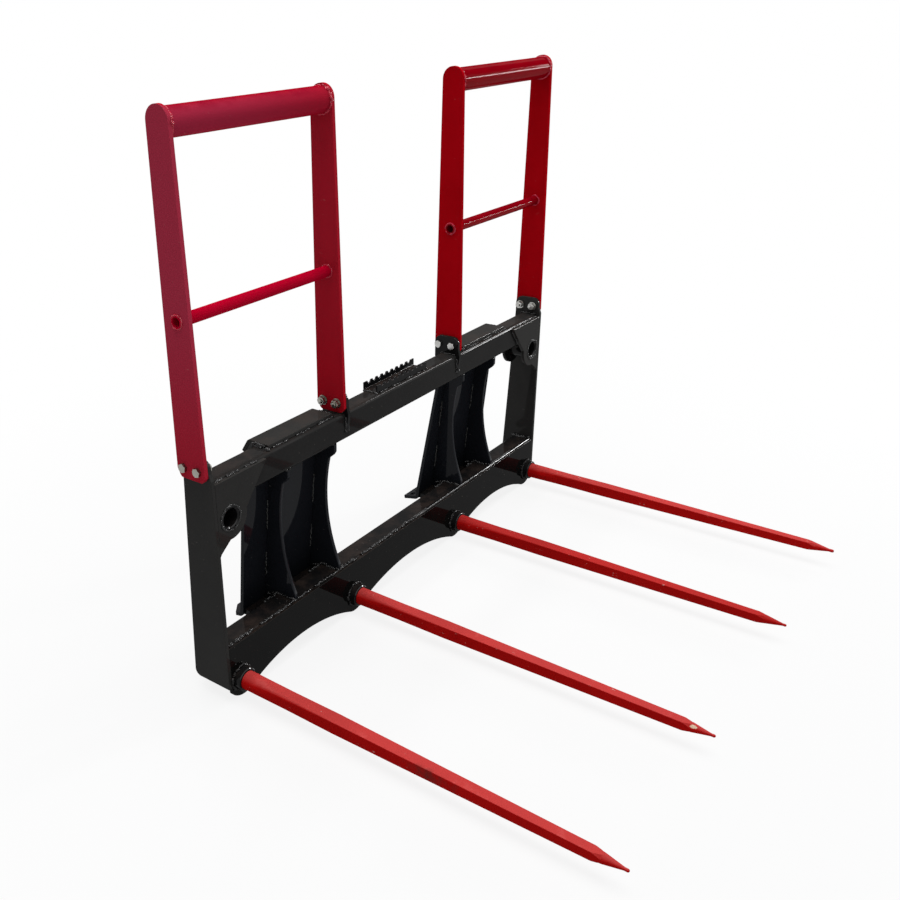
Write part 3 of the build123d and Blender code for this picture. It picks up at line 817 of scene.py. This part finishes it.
@dataclass
class WeldShop:
    """Lays weld beads as rows of overlapping ripples."""

    chance: random.Random = field(default_factory=lambda: random.Random(7))
    ripple: Object | None = None
    crumb: Object | None = None
    cloud: bpy.types.Texture | None = None
    loose: list[Object] = field(default_factory=list)
    ripple_squash: Triple = (0.72, 1.0, 1.0)
    ripple_lean: float = 26.0
    crumb_squash: Triple = (1.0, 0.8, 0.9)
    crumb_sizes: Pair = (1.0, 2.5)
    cloud_scale: float = 0.007
    swell: float = 1.8
    waver: float = 0.25
    pitch: float = 0.95
    crisp: float = 80.0

    def tool_up(self) -> None:
        """Models the one ripple and the one crumb of spatter that are copied."""
        Bench.clear()
        bpy.ops.mesh.primitive_uv_sphere_add(segments=8, ring_count=5, radius=1.0)
        self.ripple = Bench.named("weld_ripple")
        Bench.edit(self.ripple)
        bpy.ops.transform.resize(value=self.ripple_squash)
        bpy.ops.transform.rotate(
            value=math.radians(self.ripple_lean), orient_axis="Y", center_override=CENTRE,
        )
        Bench.leave()
        Bench.clear()
        bpy.ops.mesh.primitive_ico_sphere_add(subdivisions=1, radius=1.0)
        self.crumb = Bench.named("weld_crumb")
        Bench.edit(self.crumb)
        bpy.ops.transform.resize(value=self.crumb_squash)
        Bench.leave()
        self.cloud = bpy.data.textures.new("weld_lumps", "CLOUDS")
        self.cloud.noise_scale = self.cloud_scale
        self.cloud.noise_depth = 1

    def put(self, bead: Object, place: Vector, turn: Matrix, size: float) -> None:
        """Puts a bead in its place, then swells and pinches it so that no two of its ripples are alike.

        Args:
            bead: a bead that lies at the origin.
            place: where it goes.
            turn: how it is turned first.
            size: what it swells in proportion to, in metres.
        """
        bead.data.transform(Matrix.Translation(place) @ turn)
        swell = bead.modifiers.new("lumps", "DISPLACE")
        swell.texture = self.cloud
        swell.texture_coords = "LOCAL"
        swell.strength = size * self.swell
        Bench.apply(bead)
        self.loose.append(bead)

    def lay(self, run: Run, side: float = 1.0, shift: float = 0.0) -> None:
        """Lays one straight run.

        Args:
            run: the run, measured on the right half.
            side: -1 to mirror it onto the left half.
            shift: how far it is then moved along the frame in mm.
        """
        start, end = (spot(side * x + shift, y, z) for x, y, z in (run.start, run.end))
        if run.stitch is None:
            self.seam(start, end, run.size)
        else:
            self.stitches(start, end, run.size, *run.stitch)

    def seam(self, start: Vector, end: Vector, size: float) -> None:
        """Lays one straight bead.

        Args:
            start: its first point in metres.
            end: its last point in metres.
            size: the ripples' radius in mm.
        """
        radius = size / MM
        length = (end - start).length
        count = max(2, round(length / (radius * self.pitch)))
        bead = Bench.twin(self.ripple, "bead")
        bead.data.transform(Matrix.Scale(radius, 4))
        row = bead.modifiers.new("row", "ARRAY")
        row.count = count
        row.use_relative_offset = False
        row.use_constant_offset = True
        row.constant_offset_displace = (length / (count - 1), 0.0, 0.0)
        Bench.apply(bead)
        self.put(bead, start, turned(ALONG, (end - start).normalized()), radius)

    def even_run(self, start: Vector, end: Vector, size: float, step: float = 14.0) -> None:
        """Lays one long even bead, with only a slight waver.

        Args:
            start: its first point in metres.
            end: its last point in metres.
            size: the bead's radius in mm.
            step: the length of one of its sections in mm.
        """
        length = (end - start).length
        count = max(2, round(length * MM / step))
        Bench.clear()
        bpy.ops.mesh.primitive_circle_add(vertices=12, radius=size / MM, fill_type="NGON")
        bead = Bench.named("bead")
        Bench.edit(bead)
        for _ in range(count):
            bpy.ops.mesh.extrude_region_move(TRANSFORM_OT_translate={"value": (0.0, 0.0, length / count)})
        Bench.leave()
        self.put(bead, start, turned(UP, (end - start).normalized()), size / MM * self.waver)

    def stitches(self, start: Vector, end: Vector, size: float, length: float, gap: float) -> None:
        """Lays a row of short beads with gaps between them.

        Args:
            start: first point in metres.
            end: last point in metres.
            size: the ripples' radius in mm.
            length: each stitch's length in mm.
            gap: the space between stitches in mm.
        """
        run = end - start
        whole = run.length * MM
        place = self.chance.uniform(0.0, gap * 0.5)
        while place < whole - length * 0.4:
            stop = min(whole, place + length * self.chance.uniform(0.75, 1.2))
            self.seam(start + run * (place / whole), start + run * (stop / whole), size)
            place = stop + gap * self.chance.uniform(0.6, 1.3)

    def ring(
        self, centre: Vector, axis: Vector, radius: float, size: float,
        first: float = 0.0, sweep: float = 360.0,
    ) -> None:
        """Lays a bead round a tube.

        Args:
            centre: middle of the ring in metres.
            axis: the tube's direction.
            radius: the ring's radius in mm.
            size: the ripples' radius in mm.
            first: angle of its first ripple in degrees.
            sweep: how far round it goes in degrees.
        """
        small, reach, whole = size / MM, radius / MM, math.radians(sweep)
        count = max(4, round(whole * reach / (small * self.pitch)))
        bead = Bench.twin(self.ripple, "bead")
        bead.data.transform(Matrix.Rotation(math.pi / 2, 4, "Z") @ Matrix.Scale(small, 4))
        bead.data.transform(Matrix.Rotation(math.radians(first), 4, "Z") @ Matrix.Translation((reach, 0, 0)))
        Bench.edit(bead)
        bpy.ops.mesh.spin(
            steps=count - 1, dupli=True, angle=-whole * (count - 1) / count, center=CENTRE, axis=UP,
        )
        Bench.leave()
        self.put(bead, centre, turned(UP, axis), small)

    def spatter(self, centre: Vector, reach: Triple, count: int) -> None:
        """Scatters crumbs of spatter.

        Args:
            centre: middle of the patch in metres.
            reach: how far they spread along X, Y and Z in mm.
            count: how many there are.
        """
        for _ in range(count):
            crumb = Bench.twin(self.crumb, "bead")
            size = self.chance.uniform(*self.crumb_sizes) / MM
            off = Vector([self.chance.uniform(-1, 1) * step / MM for step in reach])
            crumb.data.transform(Matrix.Translation(centre + off) @ Matrix.Scale(size, 4))
            self.loose.append(crumb)

    def gather(self, name: str, material: Material, slot: Slot) -> None:
        """Joins the beads laid so far into one piece.

        Args:
            name: the piece's name.
            material: its finish.
            slot: the record's slot.
        """
        piece = Bench.join(self.loose, name)
        self.loose = []
        Bench.edit(piece)
        bpy.ops.mesh.normals_make_consistent(inside=False)
        Bench.leave()
        Bench.finish(piece, material, slot, self.crisp)

    def pack_up(self) -> None:
        """Deletes the ripple and the crumb."""
        Bench.drop(self.ripple)
        Bench.drop(self.crumb)


@dataclass
class FrameWelds:
    """Weld beads on the black frame, in mm from the front plane, those of a half on its right side."""

    shop: WeldShop
    palette: Palette
    low_top: float = 147.0
    beam_under: float = 499.0
    edge_y: float = 9.5
    edge_seams: tuple[Pair, ...] = (
        (-722, -640), (-606, -425), (-402, -240), (-206, -45), (-20, 60), (282, 318), (458, 494),
    )
    edge_size: float = 4.6
    even_edge: Pair = (40, 722)
    even_size: float = 5.2
    runs: tuple[Run, ...] = (
        Run((727, 13, 147), (727, 66, 147), 8.5),  # bottom beam to end plate
        Run((720, 30, 147), (722, 62, 147), 5.0),
        Run((727, 70.5, 90), (727, 70.5, 140), 4.0),
        Run((727, 16, 571), (727, 62, 571), 5.0),  # top beam to end plate
        Run((727, 66.5, 508), (727, 66.5, 562), 4.0),
        Run((564.5, 67, 505), (564.5, 67, 556), 3.6),  # coupler plate to top beam
        Run((306, 19.5, 571), (531, 19.5, 571), 3.2, (55, 34)),  # coupler hook to top beam
        Run((301.5, 20, 571), (301.5, 64, 571), 6.0),
        Run((301.5, 30, 576), (301.5, 64, 576), 4.5),
        Run((535.5, 20, 571), (535.5, 64, 571), 6.0),
        Run((535.5, 30, 576), (535.5, 64, 576), 4.5),
        Run((251.5, 18, 571), (251.5, 60, 571), 3.4),  # guard lug to top beam
        Run((251.5, 9.5, 522), (251.5, 9.5, 558), 3.2),
        Run((262.5, 18, 571), (262.5, 60, 571), 3.4),
        Run((262.5, 9.5, 522), (262.5, 9.5, 558), 3.2),
        Run((580, 9.5, 565), (724, 9.5, 565), 3.2, (46, 26)),  # corner gusset to top beam
        Run((570, 9.5, 556), (612, 9.5, 505), 3.0),
        Run((622, 66.5, 535), (722, 66.5, 535), 3.8),  # socket plate to top beam
    )
    rib_xs: Pair = (300.0, 476.0)
    rib_flanks: Pair = (-5.6, 5.6)
    rib_heights: tuple[Pair, ...] = ((190, 255), (325, 403))
    rib_feet: tuple[Run, ...] = (
        Run((-52, 69, 145.5), (-8, 69, 146), 5.0),
        Run((8, 69, 146), (34, 69, 145.5), 5.0),
        Run((-7, 70, 143), (-6, 98, 135), 5.5),
    )
    socket: Pair = (688, 470)
    socket_rings: tuple[Triple, ...] = ((0.2, 29.6, 2.8), (76.2, 30.4, 3.2))
    sleeve_xs: Pair = SPEAR_XS[2:]
    step_runs: tuple[Run, ...] = (
        Run((-114.5, 23, 571), (-114.5, 63, 571), 3.6),
        Run((114.5, 23, 571), (114.5, 63, 571), 3.6),
        Run((-104, 20, 571), (104, 20, 571), 3.0, (30, 36)),
    )

    def plate_front(self, z: float) -> float:
        """Distance of the leaning plate's front face behind the front plane at a height."""
        return 66.0 + 0.1 * (560.0 - z)

    def lay(self) -> None:
        """Lays every bead on the frame."""
        shop, bead = self.shop, self.palette[Finish.BLACK_BEAD]
        for start, end in self.edge_seams:
            shop.lay(Run((start, self.edge_y, self.low_top), (end, self.edge_y, self.low_top), self.edge_size))
        shop.even_run(*(spot(x, self.edge_y, self.low_top) for x in self.even_edge), self.even_size)
        shop.gather("front_edge_bead", bead, Slot.FRAME)
        for side in Side:
            self.half(side.value)
            shop.gather(f"frame_welds_{side.name.lower()}", bead, Slot.FRAME)
            self.sleeves(side.value)
            shop.gather(f"sleeve_welds_{side.name.lower()}", self.palette[Finish.BLACK], Slot.FRAME)
        for run in self.step_runs:
            shop.lay(run)
        shop.gather("step_welds", bead, Slot.FRAME)

    def half(self, side: float) -> None:
        """Lays the beads and the spatter of one half of the frame.

        Args:
            side: -1 for the left half, 1 for the right.
        """
        shop = self.shop
        for run in self.runs:
            shop.lay(run, side)
        for centre in self.rib_xs:
            for flank in self.rib_flanks:
                self.rib(side * centre + flank)
        for y, radius, size in self.socket_rings:
            shop.ring(spot(side * self.socket[0], y, self.socket[1]), FRONT, radius, size)
        for x in self.sleeve_xs:
            shop.spatter(spot(side * x - 4, -0.2, SPEAR_Z + 40), (16, 0.3, 9), 4)
            shop.spatter(spot(side * x - 33, -0.2, SPEAR_Z + 12), (6, 0.3, 12), 3)
        for centre in self.rib_xs:
            shop.spatter(spot(side * centre, 36, self.low_top + 0.2), (30, 18, 0.3), 6)
            for run in self.rib_feet:
                shop.lay(run, shift=side * centre)

    def rib(self, x: float) -> None:
        """Lays the beads along one face of a rib: on the beams and up the leaning plate.

        Args:
            x: the face's place along the frame.
        """
        self.shop.lay(Run((x, 13, self.low_top), (x, 68, self.low_top), 5.0))
        self.shop.lay(Run((x, 16, self.beam_under), (x, 62, self.beam_under), 3.0))
        for low, high in self.rib_heights:
            self.shop.lay(Run((x, self.plate_front(low), low), (x, self.plate_front(high), high), 3.0))

    def sleeves(self, side: float) -> None:
        """Lays the beads round the sleeves of one half: one at the mouth and part of one at the plate.

        Args:
            side: -1 for the left half, 1 for the right.
        """
        for x in self.sleeve_xs:
            self.shop.ring(spot(side * x, -0.5, SPEAR_Z), FRONT, 30.6, 4.4)
            self.shop.ring(spot(side * x, 10.5, SPEAR_Z), FRONT, 30.4, 3.4, first=100, sweep=160)


@dataclass
class HoopWelds:
    """Weld beads on the guard hoops, in mm from the front plane."""

    shop: WeldShop
    palette: Palette
    tube_xs: Pair = (272.5, 737.5)
    tube: Pair = (48.5, 1290.0)
    tube_bead: Pair = (29.0, 3.7)
    rung_xs: tuple[float, ...] = (261.7, 272.3, 737.7, 748.3)
    rung: Pair = (46.0, 918.2)
    rung_bead: Pair = (14.2, 2.7)

    def lay(self) -> None:
        """Lays the beads of both hoops."""
        for side in Side:
            for x in self.tube_xs:
                self.shop.ring(spot(side.value * x, *self.tube), ALONG, *self.tube_bead)
            for x in self.rung_xs:
                self.shop.ring(spot(side.value * x, *self.rung), ALONG, *self.rung_bead)
            name = f"hoop_welds_{side.name.lower()}"
            self.shop.gather(name, self.palette[Finish.CRIMSON_BEAD_PAINTED_HIGHLIGHT], Slot.HOOP)


@dataclass
class SpearTips:
    """Blunt drops of paint on the spears' points, in mm from the front plane."""

    palette: Palette
    tip_y: float = -942.0
    sink: float = 0.4
    sizes: tuple[float, ...] = (3.5, 3.5, 3.4, 4.3)
    tail: float = 6.0
    crisp: float = 60.0

    def dip(self) -> None:
        """Models one drop, copies it to each point and joins the copies."""
        Bench.clear()
        bpy.ops.mesh.primitive_uv_sphere_add(
            segments=16, ring_count=10, radius=1.0, rotation=(math.pi / 2, 0, 0),
        )
        model = Bench.named("drop")
        Bench.settle(model)
        bpy.ops.object.mode_set(mode="EDIT")
        mesh = bmesh.from_edit_mesh(model.data)
        for vertex in mesh.verts:
            vertex.select_set(vertex.co.y > 0.05)
        mesh.select_flush(True)
        bmesh.update_edit_mesh(model.data)
        bpy.ops.transform.resize(value=(1.0, self.tail, 1.0), center_override=CENTRE)
        Bench.leave()
        copies = []
        for x, size in zip(SPEAR_XS, self.sizes):
            copy = Bench.twin(model, "copy")
            centre = spot(x, self.tip_y + size - self.sink, SPEAR_Z)
            copy.data.transform(Matrix.Translation(centre) @ Matrix.Scale(size / MM, 4))
            copies.append(copy)
        Bench.drop(model)
        piece = Bench.join(copies, "spear_tip_drops")
        Bench.finish(piece, self.palette[Finish.SPEAR], Slot.SPEAR, self.crisp)


@dataclass
class Fasteners:
    """Chamfered hex bolts and nuts that stand for the plain ones, sizes in mm."""

    palette: Palette
    chance: random.Random = field(default_factory=lambda: random.Random(3))
    flats: float = 19.0
    head: float = 7.5
    nut: float = 10.5
    washer: float = 2.5
    bolt_r: float = 6.0
    bolt_play: float = 0.05
    stand: float = 4.0
    bolt_ys: Pair = (27.0, 69.0)
    bolt_z: float = 596.0
    seats: tuple[Pair, ...] = ((748.0, 728.0), (252.0, 272.0))
    spear_flats: float = 44.0
    spear_nut: float = 23.0
    spear_bolt_r: float = 14.0
    spear_play: float = 0.2
    spear_nut_y: float = 99.0
    turned_face: float = 0.475
    turned_angle: float = 60.0
    core: float = 0.9
    end_bevel: float = 0.12
    thread_pitch: float = 0.26
    thread_ridge: float = 0.55
    thread_turns: int = 6
    crisp: float = 30.0

    def any_turn(self) -> float:
        """Turn in degrees in which one hexagon was left."""
        return self.chance.uniform(0, 60)

    def hexagon(self, flats: float, height: float, both: bool) -> Object:
        """Models a hexagon with turned corners, standing on z = 0.

        Args:
            flats: size across the flats.
            height: its height.
            both: whether both faces are turned, as on a nut.

        Returns:
            The hexagon.
        """
        size, tall = flats / MM, height / MM
        middle = (0, 0, tall / 2)
        Bench.clear()
        bpy.ops.mesh.primitive_cylinder_add(vertices=6, radius=size / math.sqrt(3), depth=tall, location=middle)
        body = Bench.named("hexagon")
        Bench.settle(body)
        face = size * self.turned_face
        slope = tall * math.tan(math.radians(self.turned_angle))
        for turn in ((0, math.pi) if both else (0,)):
            Bench.clear()
            bpy.ops.mesh.primitive_cone_add(
                vertices=40, radius1=face + slope, radius2=face, depth=tall,
                location=middle, rotation=(turn, 0, 0),
            )
            cone = Bench.named("turning")
            Bench.settle(cone)
            Bench.cut(body, cone, "INTERSECT")
        return body

    def bore(self, body: Object, radius: float, height: float) -> None:
        """Drills a nut right through.

        Args:
            body: the nut.
            radius: the hole's radius.
            height: the nut's height.
        """
        tall = height / MM
        Bench.clear()
        bpy.ops.mesh.primitive_cylinder_add(
            vertices=32, radius=radius / MM, depth=tall * 3, location=(0, 0, tall / 2),
        )
        drill = Bench.named("drill")
        Bench.settle(drill)
        Bench.cut(body, drill, "DIFFERENCE")

    def rod(self, radius: float, length: float) -> Object:
        """Models a bolt's rod with a bevelled end and thread, from z = 0 downwards.

        Args:
            radius: its radius.
            length: its length.

        Returns:
            The rod.
        """
        r, deep = radius / MM, length / MM
        Bench.clear()
        bpy.ops.mesh.primitive_cylinder_add(
            vertices=28, radius=r * self.core, depth=deep, location=(0, 0, -deep / 2),
        )
        rod = Bench.named("rod")
        Bench.settle(rod)
        bpy.ops.object.mode_set(mode="EDIT")
        mesh = bmesh.from_edit_mesh(rod.data)
        for edge in mesh.edges:
            edge.select_set(all(vertex.co.z < -deep * 0.99 for vertex in edge.verts))
        bmesh.update_edit_mesh(rod.data)
        bpy.ops.mesh.bevel(offset=r * self.end_bevel, segments=2)
        Bench.leave()
        return Bench.join([rod, self.thread(r, deep)], "rod")

    def thread(self, r: float, deep: float) -> Object:
        """Models the ridge of the thread at the rod's end.

        Args:
            r: the bolt's radius in metres.
            deep: the rod's length in metres.

        Returns:
            The ridge.
        """
        pitch = r * self.thread_pitch
        Bench.clear()
        bpy.ops.mesh.primitive_circle_add(
            vertices=3, radius=pitch * self.thread_ridge, rotation=(math.pi / 2, 0, 0),
            location=(r * self.core, 0, -deep + pitch),
        )
        ridge = Bench.named("thread")
        Bench.settle(ridge)
        screw = ridge.modifiers.new("thread", "SCREW")
        screw.axis = "Z"
        screw.steps = screw.render_steps = 24
        screw.screw_offset = pitch
        screw.iterations = self.thread_turns
        Bench.apply(ridge)
        Bench.edit(ridge)
        bpy.ops.mesh.remove_doubles(threshold=0.000001)
        bpy.ops.mesh.fill_holes(sides=4)
        bpy.ops.mesh.normals_make_consistent(inside=False)
        Bench.leave()
        return ridge

    def place(
        self, model: Object, spots: Sequence[tuple[Vector, Vector, float]], name: str, nodes: Sequence[str],
        finish: Finish, slot: Slot,
    ) -> None:
        """Copies a model to each of its places and hides the plain nodes.

        Args:
            model: what was modelled along +Z.
            spots: place, direction and turn in degrees of each copy.
            name: the joined piece's name.
            nodes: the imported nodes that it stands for.
            finish: its finish.
            slot: the record's slot.
        """
        copies = []
        for where, direction, turn in spots:
            copy = Bench.twin(model, "copy")
            spun = turned(UP, direction) @ Matrix.Rotation(math.radians(turn), 4, "Z")
            copy.data.transform(Matrix.Translation(where) @ spun)
            copies.append(copy)
        Bench.drop(model)
        piece = Bench.join(copies, name)
        Bench.finish(piece, self.palette[finish], slot, self.crisp)
        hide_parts(*nodes)

    def fit(self) -> None:
        """Models the bolts and nuts and puts them in place."""
        heads, nuts = [], []
        for side in Side:
            for head_x, nut_x in self.seats:
                out = 1.0 if head_x > nut_x else -1.0
                way = ALONG * side.value * out
                nut_at = side.value * (nut_x - out * self.washer)
                for y in self.bolt_ys:
                    heads.append((spot(side.value * head_x, y, self.bolt_z), way, self.any_turn()))
                    nuts.append((spot(nut_at, y, self.bolt_z), -way, self.any_turn()))
        grip = abs(self.seats[0][0] - self.seats[0][1]) + self.washer + self.nut + self.stand
        bolt = Bench.join([self.hexagon(self.flats, self.head, False), self.rod(self.bolt_r, grip)], "bolt")
        self.place(bolt, heads, "hoop_bolts", ["guard_bolts"], Finish.ZINC, Slot.ZINC)
        nut = self.hexagon(self.flats, self.nut, True)
        self.bore(nut, self.bolt_r + self.bolt_play, self.nut)
        self.place(nut, nuts, "hoop_nuts", ["guard_nuts"], Finish.ZINC, Slot.ZINC)
        big = self.hexagon(self.spear_flats, self.spear_nut, True)
        self.bore(big, self.spear_bolt_r + self.spear_play, self.spear_nut)
        backs = [(spot(x, self.spear_nut_y, SPEAR_Z), BACK, self.any_turn()) for x in SPEAR_XS]
        self.place(big, backs, "spear_back_nuts", ["spear_nuts"], Finish.PLAIN, Slot.PLAIN)


@dataclass(frozen=True)
class Lamp:
    """A rectangular soft lamp: place and aim in metres, width, depth and power in watts."""

    name: str
    place: Triple
    aim: Triple
    wide: float
    deep: float
    power: float

    def hang(self) -> None:
        """Adds the lamp to the scene."""
        light = bpy.data.lights.new(self.name, "AREA")
        light.shape = "RECTANGLE"
        light.size = self.wide
        light.size_y = self.deep
        light.energy = self.power
        lamp = bpy.data.objects.new(self.name, light)
        lamp.location = self.place
        lamp.rotation_euler = (Vector(self.aim) - Vector(self.place)).to_track_quat("-Z", "Y").to_euler()
        bpy.context.scene.collection.objects.link(lamp)


@dataclass
class Studio:
    """Pale floor, soft lights and the camera at the photograph's angle."""

    eye: Triple = (-2.01042, -0.95977, 1.46521)
    azimuth: float = 49.569
    elevation: float = 24.749
    roll: float = -2.457
    lens: float = 39.115
    sensor: float = 36.0
    shift: Pair = (0.1592, 0.0126)
    floor_size: float = 120.0
    floor_z: float = -0.0006
    floor_colour: Triple = (0.55, 0.55, 0.55)
    shadow_reach: Pair = (0.9, 2.6)
    shadow_fade: Pair = (0.85, 1.0)
    room_colour: Triple = (0.94, 0.96, 1.0)
    room_strength: float = 0.28
    lamps: tuple[Lamp, ...] = (
        Lamp("overhead_softbox", (-0.5, -0.4, 9.0), (0.0, 0.1, 0.3), 6.5, 5.5, 830.0),
        Lamp("left_softbox", (-4.2, -1.6, 2.6), (0.0, 0.2, 0.5), 1.6, 2.4, 14.0),
        Lamp("right_edge_strip", (4.0, -1.0, 2.7), (0.3, 0.3, 0.5), 0.3, 2.0, 60.0),
        Lamp("right_front_strip", (4.0, -1.55, 1.5), (0.0, 0.3, 0.6), 0.8, 0.35, 45.0),
        Lamp("rear_strip", (0.2, 2.6, 3.8), (0.0, 0.3, 0.5), 3.0, 0.5, 55.0),
    )

    def set_up(self) -> None:
        """Builds the floor, world, lamps and camera."""
        bpy.context.scene.view_settings.view_transform = "Standard"
        self.floor()
        self.world()
        for lamp in self.lamps:
            lamp.hang()
        self.camera()

    @staticmethod
    def seen(graph: Graph) -> Socket:
        """Mask of the rays that see the white background.

        Args:
            graph: the material or world it stands in.

        Returns:
            1 for camera, glossy and transmission rays.
        """
        path = graph.add("LightPath").outputs
        mask = graph.math("MAXIMUM", path["Is Camera Ray"], path["Is Glossy Ray"])
        return graph.math("MAXIMUM", mask, path["Is Transmission Ray"])

    def floor(self) -> None:
        """Lays a wide pale floor that keeps the part's soft shadow."""
        Bench.clear()
        bpy.ops.mesh.primitive_plane_add(size=self.floor_size, location=(0, 0, self.floor_z))
        floor = Bench.named("floor")
        Bench.settle(floor)
        material = bpy.data.materials.new("pale_floor")
        graph = Graph.of(material)
        diffuse = graph.fill(graph.add("BsdfDiffuse"), {"Color": self.floor_colour})
        reach = graph.vector("LENGTH", graph.add("TexCoord").outputs["Object"])["Value"]
        white = graph.product(self.seen(graph), graph.span(reach, self.shadow_reach, self.shadow_fade))
        graph.surface(graph.mix(white, diffuse, graph.add("Emission")))
        floor.data.materials.append(material)

    def world(self) -> None:
        """Fills the room with soft light, white where it is seen."""
        world = bpy.data.worlds.new("studio_room")
        bpy.context.scene.world = world
        graph = Graph.of(world)
        room = {"Color": self.room_colour, "Strength": self.room_strength}
        soft = graph.fill(graph.add("Background"), room)
        white = graph.fill(graph.add("Background"), {"Color": (1.0, 1.0, 1.0)})
        graph.surface(graph.mix(self.seen(graph), soft, white), "OutputWorld")

    def camera(self) -> None:
        """Sets the camera where the photograph was taken from."""
        turn, tip, lean = (math.radians(angle) for angle in (self.azimuth, self.elevation, self.roll))
        ahead = Vector((math.cos(tip) * math.sin(turn), math.cos(tip) * math.cos(turn), -math.sin(tip)))
        right = Vector((math.cos(turn), -math.sin(turn), 0.0))
        over = right.cross(ahead)
        across = math.cos(lean) * right + math.sin(lean) * over
        upward = -math.sin(lean) * right + math.cos(lean) * over
        lens = bpy.data.cameras.new("photo_camera")
        lens.lens = self.lens
        lens.sensor_width = self.sensor
        lens.shift_x, lens.shift_y = self.shift
        lens.clip_end = 200.0
        camera = bpy.data.objects.new("photo_camera", lens)
        pose = Matrix((across, upward, -ahead)).transposed().to_4x4()
        camera.matrix_world = Matrix.Translation(self.eye) @ pose
        bpy.context.scene.collection.objects.link(camera)
        bpy.context.scene.camera = camera


def main() -> None:
    """Builds the dressed part and its studio."""
    logging.basicConfig(level=logging.INFO)
    Bench.clear()
    effects = Effects()
    effects.build()
    palette = {finish: finish.value.material(effects) for finish in Finish}
    SolidDress(palette).dress(frame["nodes"])
    shop = WeldShop()
    shop.tool_up()
    FrameWelds(shop, palette).lay()
    HoopWelds(shop, palette).lay()
    shop.pack_up()
    SpearTips(palette).dip()
    Fasteners(palette).fit()
    Studio().set_up()


if __name__ == "__main__":
    main()
